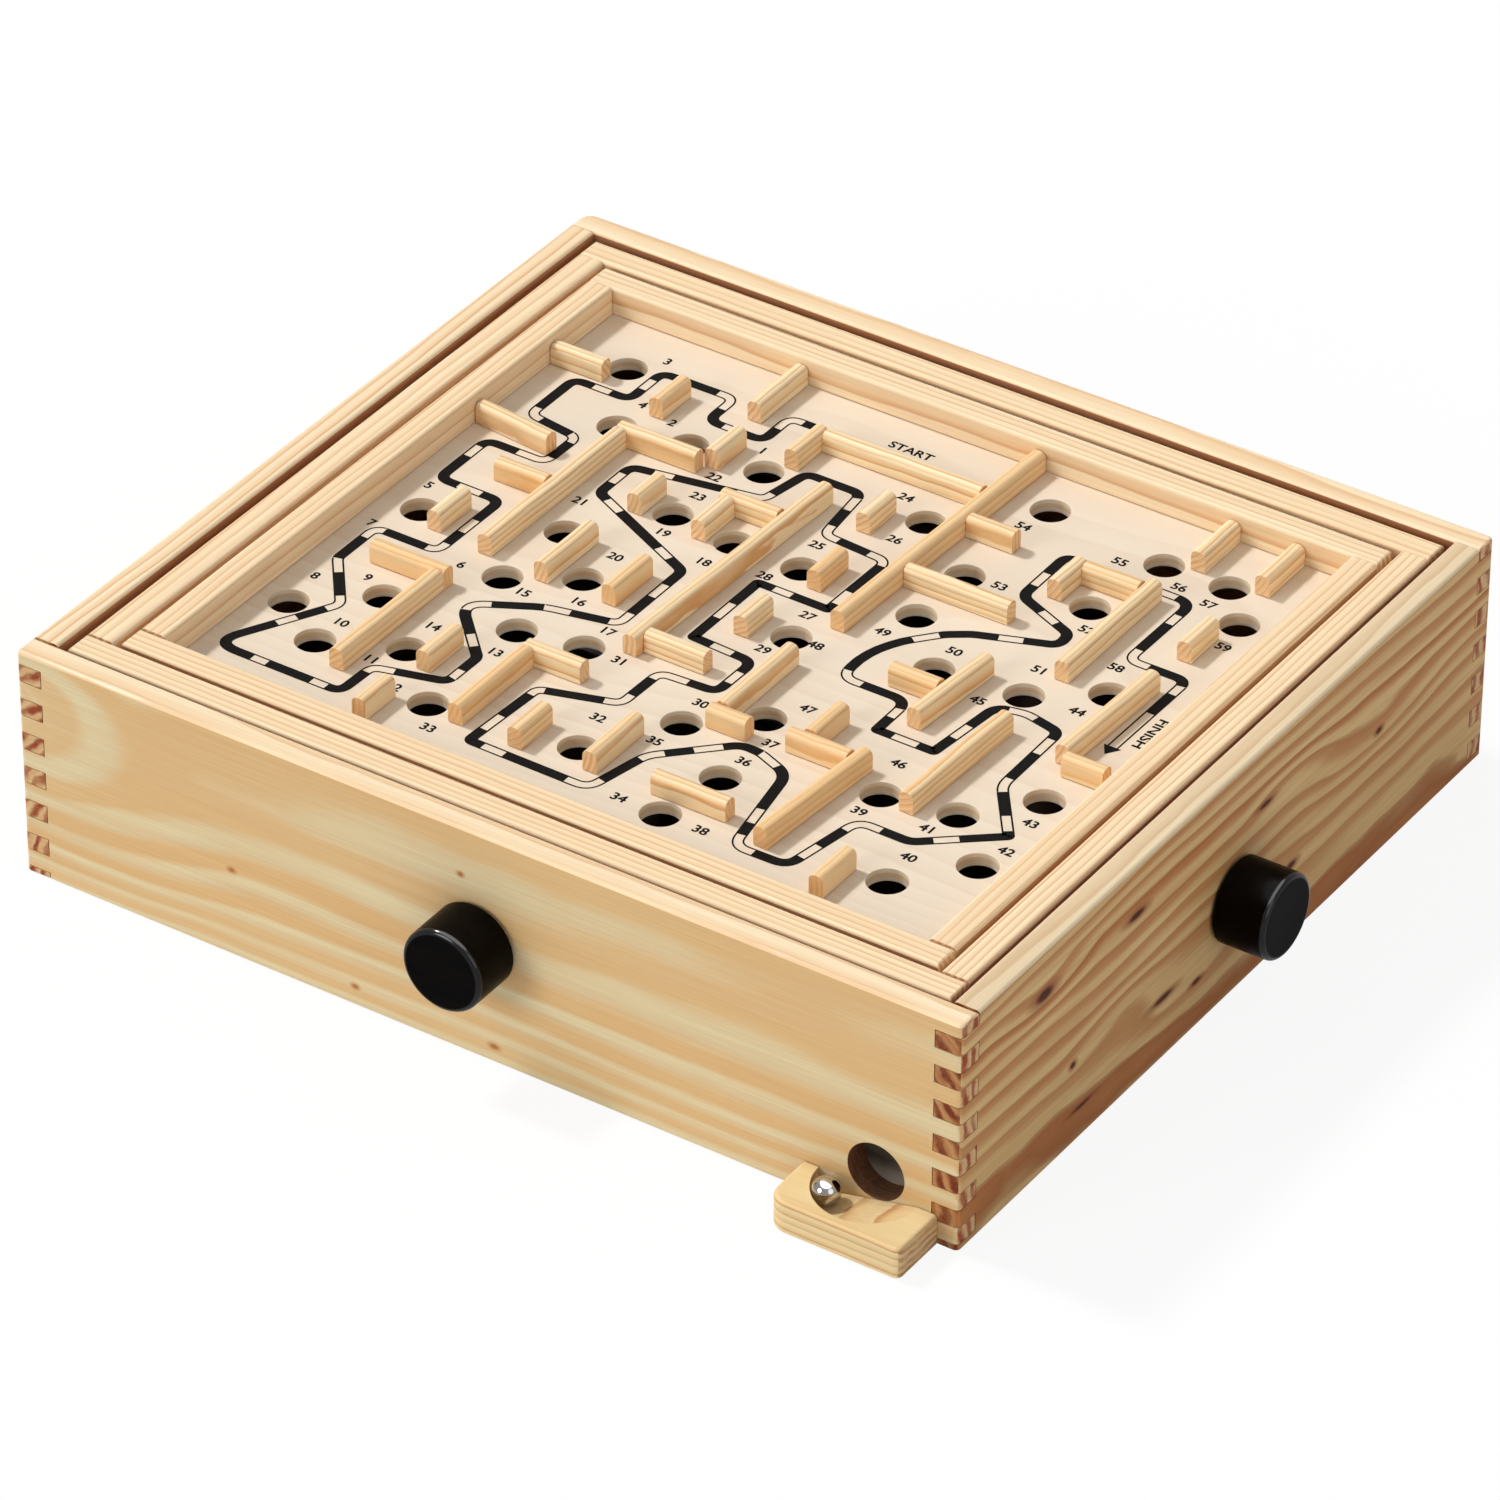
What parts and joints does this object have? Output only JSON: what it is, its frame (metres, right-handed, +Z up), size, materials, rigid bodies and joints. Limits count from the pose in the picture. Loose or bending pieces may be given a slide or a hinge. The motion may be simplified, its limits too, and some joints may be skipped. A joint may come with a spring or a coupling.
{
  "type": "labyrinth maze game",
  "caption": "Wooden tilting labyrinth game: a walled maze board with holes in two nested frames, tipped by two side knobs, with a ball tray at the front.",
  "frame": {"origin": "on the surface that the game stands on, under the middle of its whole box, knob and tray included", "axes": "+X to the right, towards the right-hand knob; +Y to the back; +Z up; the front knob, exit and tray face -Y"},
  "size_m": [0.3166, 0.2872, 0.072],
  "materials": {
    "pine": "clear satin lacquer over pine",
    "birch_ply": "smooth bare birch plywood with a printed route on the board",
    "wall_pine": "satin pine strip",
    "black_stain": "black stain, satin lacquer",
    "steel_rod": "plain drawn steel",
    "ball_steel": "polished",
    "cord": "waxed braided cord"
  },
  "bodies": {
    "case": {"front_panel": "pine", "back_panel": "pine", "left_panel": "pine", "right_panel": "pine", "ramp_floor": "birch_ply", "ball_tray": "pine", "outer_pin_left": "steel_rod", "outer_pin_right": "steel_rod"},
    "outer_frame": {"outer_rail_front": "pine", "outer_rail_back": "pine", "outer_rail_left": "pine", "outer_rail_right": "pine", "inner_pin_front": "steel_rod", "inner_pin_back": "steel_rod", "outer_cord": "cord", "outer_cord_spring": "steel_rod"},
    "maze": {"inner_rail_front": "pine", "inner_rail_back": "pine", "inner_rail_left": "pine", "inner_rail_right": "pine", "maze_board": "birch_ply", "maze_cord": "cord", "maze_cord_spring": "steel_rod", "maze_wall_01": "wall_pine", "maze_wall_02": "wall_pine", "maze_wall_03": "wall_pine", "maze_wall_04": "wall_pine", "maze_wall_05": "wall_pine", "maze_wall_09": "wall_pine", "maze_wall_10": "wall_pine", "maze_wall_11": "wall_pine", "maze_wall_14": "wall_pine", "maze_wall_17": "wall_pine", "maze_wall_18": "wall_pine", "maze_wall_21": "wall_pine", "maze_wall_24": "wall_pine", "maze_wall_25": "wall_pine", "maze_wall_26": "wall_pine", "maze_wall_27": "wall_pine", "maze_wall_29": "wall_pine", "maze_wall_31": "wall_pine", "maze_wall_32": "wall_pine", "maze_wall_35": "wall_pine", "maze_wall_37": "wall_pine", "maze_wall_38": "wall_pine", "maze_wall_39": "wall_pine", "maze_wall_40": "wall_pine", "maze_wall_41": "wall_pine", "maze_wall_43": "wall_pine", "maze_wall_44": "wall_pine", "maze_wall_45": "wall_pine", "maze_wall_47": "wall_pine", "maze_wall_48": "wall_pine", "maze_wall_50": "wall_pine"},
    "front_knob": {"front_knob": "black_stain", "front_axle": "steel_rod"},
    "right_knob": {"right_knob": "black_stain", "right_axle": "steel_rod"},
    "ball": {"steel_ball": "ball_steel"}
  },
  "joints": [
    {"name": "outer_tilt", "type": "hinge", "parent": "case", "child": "outer_frame", "pos_m": [-0.0083, 0.00915, 0.064], "axis": [1, 0, 0], "range_deg": [-5, 5], "deforming": ["outer_cord", "outer_cord_spring"]},
    {"name": "maze_tilt", "type": "hinge", "parent": "outer_frame", "child": "maze", "pos_m": [-0.0083, 0.00915, 0.064], "axis": [0, 1, 0], "range_deg": [-5, 5], "deforming": ["maze_cord", "maze_cord_spring"]},
    {"name": "front_knob_turn", "type": "hinge", "parent": "case", "child": "front_knob", "pos_m": [-0.0083, -0.12535, 0.0374], "axis": [0, 1, 0], "range_deg": [-35.5, 35.5]},
    {"name": "right_knob_turn", "type": "hinge", "parent": "case", "child": "right_knob", "pos_m": [0.1417, 0.00915, 0.0316], "axis": [1, 0, 0], "range_deg": [-43.9, 43.9]},
    {"name": "ball_lift", "type": "slide", "parent": "case", "child": "ball", "axis": [0, 0, 1], "range_m": [0, 0.03]}
  ],
  "couplings": [
    {"joint": "front_knob_turn", "follows": "maze_tilt", "ratio": -7.022},
    {"joint": "right_knob_turn", "follows": "outer_tilt", "ratio": -8.704}
  ]
}
